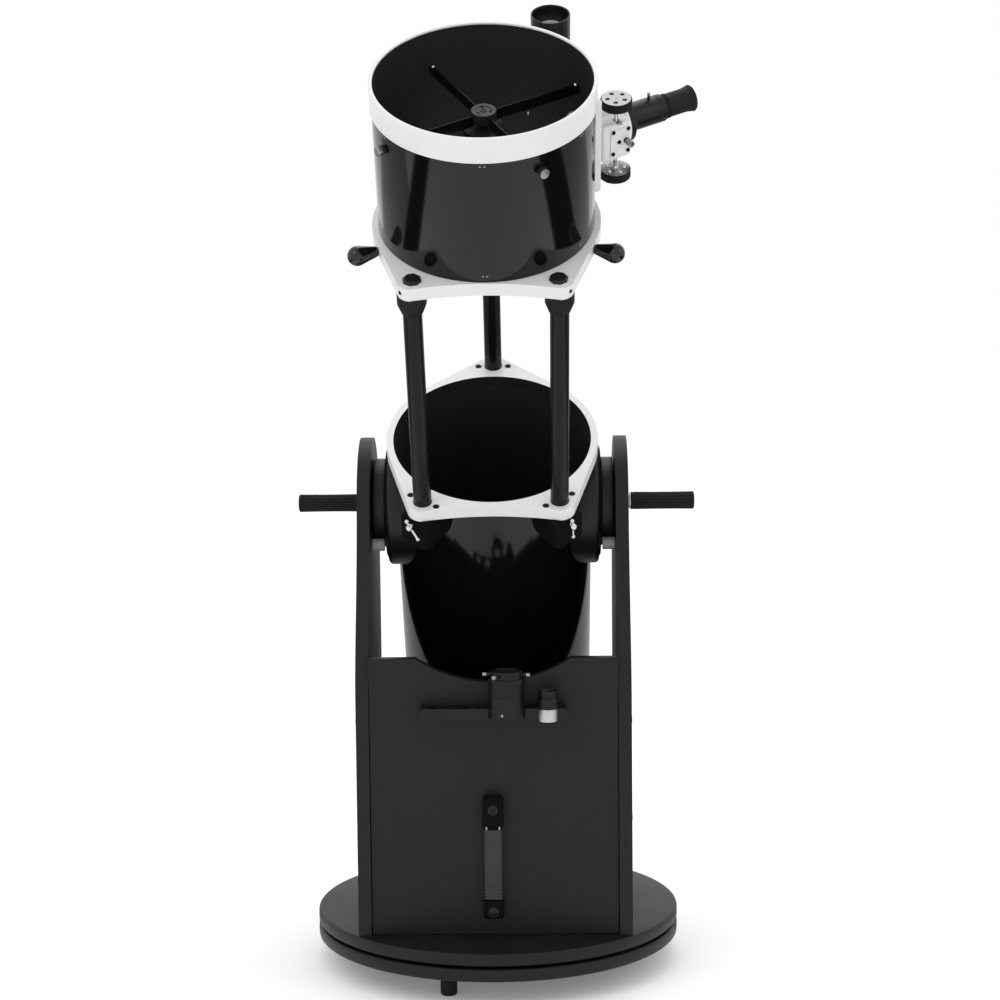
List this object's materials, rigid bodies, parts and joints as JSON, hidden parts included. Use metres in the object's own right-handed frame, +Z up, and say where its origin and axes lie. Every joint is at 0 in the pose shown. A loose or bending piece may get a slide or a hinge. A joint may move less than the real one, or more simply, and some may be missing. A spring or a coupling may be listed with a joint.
{
  "type": "dobsonian telescope",
  "caption": "Collapsible Newtonian telescope: tube on sliding struts, side focuser and finder, rocker box that turns on a round ground board.",
  "frame": {"origin": "on the floor, at the centre of the object's box", "axes": "+Z up; -Y towards the side that the tube leans to and the front board faces; +X towards the focuser's side"},
  "size_m": [0.7075, 1.1081, 1.6683],
  "materials": {
    "laminate": "satin black laminate with a fine grain",
    "tube_paint": "gloss black paint",
    "strut_paint": "semi-matte black anodised",
    "cast_white": "satin white powder coat",
    "black_plastic": "satin black",
    "black_metal": "satin black anodised",
    "gloss_black": "gloss black",
    "black_rubber": "matte black",
    "grip_rubber": "matte dark grey",
    "nylon": "grey nylon",
    "chrome": "polished",
    "mirror": "polished optical surface"
  },
  "bodies": {
    "ground": {"ground_board": "laminate", "foot_front": "black_rubber", "foot_right": "black_rubber", "foot_rear": "black_rubber", "azimuth_bearing": "nylon", "azimuth_bolt": "chrome"},
    "rocker": {"rocker_board": "laminate", "side_panel_left": "laminate", "side_panel_right": "laminate", "front_board": "laminate", "accessory_rack": "black_metal", "extension_tube": "black_metal", "rack_eyepiece": "black_metal", "handle_upper_bracket": "black_plastic", "handle_lower_bracket": "black_plastic", "handle_grip": "grip_rubber", "bush_left_front": "nylon", "bush_left_rear": "nylon", "bush_right_front": "nylon", "bush_right_rear": "nylon"},
    "tube": {"lower_tube": "tube_paint", "end_ring": "cast_white", "mirror_cell": "black_metal", "primary_mirror": "mirror", "altitude_hub_left": "black_plastic", "altitude_hub_right": "black_plastic", "altitude_disc_left": "black_plastic", "altitude_disc_right": "black_plastic", "fixed_handle": "black_rubber", "lower_casting": "cast_white", "strut_guide_left": "black_plastic", "strut_guide_right": "black_plastic", "strut_guide_rear": "black_plastic"},
    "upper": {"strut_left": "strut_paint", "strut_right": "strut_paint", "strut_rear": "strut_paint", "upper_casting": "cast_white", "lift_knob_left": "gloss_black", "lift_knob_right": "gloss_black", "upper_tube": "tube_paint", "top_ring": "cast_white", "spider": "black_metal", "secondary_holder": "black_plastic", "secondary_mirror": "mirror", "focuser_body": "cast_white", "finder_scope": "black_metal", "finder_bracket": "black_plastic"},
    "drawtube": {"focuser_drawtube": "black_metal", "eyepiece_adapter": "black_metal", "focuser_eyepiece": "black_plastic"},
    "focus_knobs": {"focus_knobs": "chrome"},
    "tension_handle": {"tension_handle": "black_rubber"},
    "lock_screw_left": {"lock_screw_left": "chrome"},
    "lock_screw_right": {"lock_screw_right": "chrome"},
    "lock_screw_rear": {"lock_screw_rear": "chrome"},
    "collimation_knob_1": {"collimation_knob_1": "black_plastic"},
    "collimation_knob_2": {"collimation_knob_2": "black_plastic"},
    "collimation_knob_3": {"collimation_knob_3": "black_plastic"}
  },
  "joints": [
    {"name": "azimuth", "type": "hinge", "parent": "ground", "child": "rocker", "pos_m": [0, 0.0875, 0], "axis": [0, 0, 1], "continuous": true},
    {"name": "altitude", "type": "hinge", "parent": "rocker", "child": "tube", "pos_m": [0, 0.0875, 0.827], "axis": [1, 0, 0], "range_deg": [-35, 55]},
    {"name": "tube_slide", "type": "slide", "parent": "tube", "child": "upper", "axis": [0, -0.5736, 0.8192], "range_m": [-0.39, 0]},
    {"name": "focus_turn", "type": "hinge", "parent": "upper", "child": "focus_knobs", "pos_m": [0.20923, -0.25805, 1.45057], "axis": [0, 0.5736, -0.8192], "range_deg": [0, 570]},
    {"name": "focuser_slide", "type": "slide", "parent": "upper", "child": "drawtube", "axis": [0.866, 0.4096, 0.2868], "range_m": [0, 0.035]},
    {"name": "tension_turn", "type": "hinge", "parent": "tube", "child": "tension_handle", "pos_m": [0.25, 0.0875, 0.827], "axis": [1, 0, 0], "range_deg": [-360, 360]},
    {"name": "lock_turn_left", "type": "hinge", "parent": "tube", "child": "lock_screw_left", "pos_m": [-0.13277, -0.13919, 0.81269], "axis": [-0.565, -0.6759, -0.4733], "range_deg": [0, 360]},
    {"name": "lock_turn_right", "type": "hinge", "parent": "tube", "child": "lock_screw_right", "pos_m": [0.13277, -0.13919, 0.81269], "axis": [0.565, -0.6759, -0.4733], "range_deg": [0, 360]},
    {"name": "lock_turn_rear", "type": "hinge", "parent": "tube", "child": "lock_screw_rear", "pos_m": [0, 0.21215, 1.0587], "axis": [0, 0.8192, 0.5736], "range_deg": [0, 360]},
    {"name": "collimation_turn_1", "type": "hinge", "parent": "tube", "child": "collimation_knob_1", "pos_m": [0.10825, 0.45416, 0.41231], "axis": [0, -0.5736, 0.8192], "range_deg": [-360, 360]},
    {"name": "collimation_turn_2", "type": "hinge", "parent": "tube", "child": "collimation_knob_2", "pos_m": [-0.10825, 0.45416, 0.41231], "axis": [0, -0.5736, 0.8192], "range_deg": [-360, 360]},
    {"name": "collimation_turn_3", "type": "hinge", "parent": "tube", "child": "collimation_knob_3", "pos_m": [0, 0.30057, 0.30477], "axis": [0, -0.5736, 0.8192], "range_deg": [-360, 360]}
  ],
  "couplings": [
    {"joint": "focuser_slide", "follows": "focus_turn", "m_per_rad": 0.0035}
  ]
}
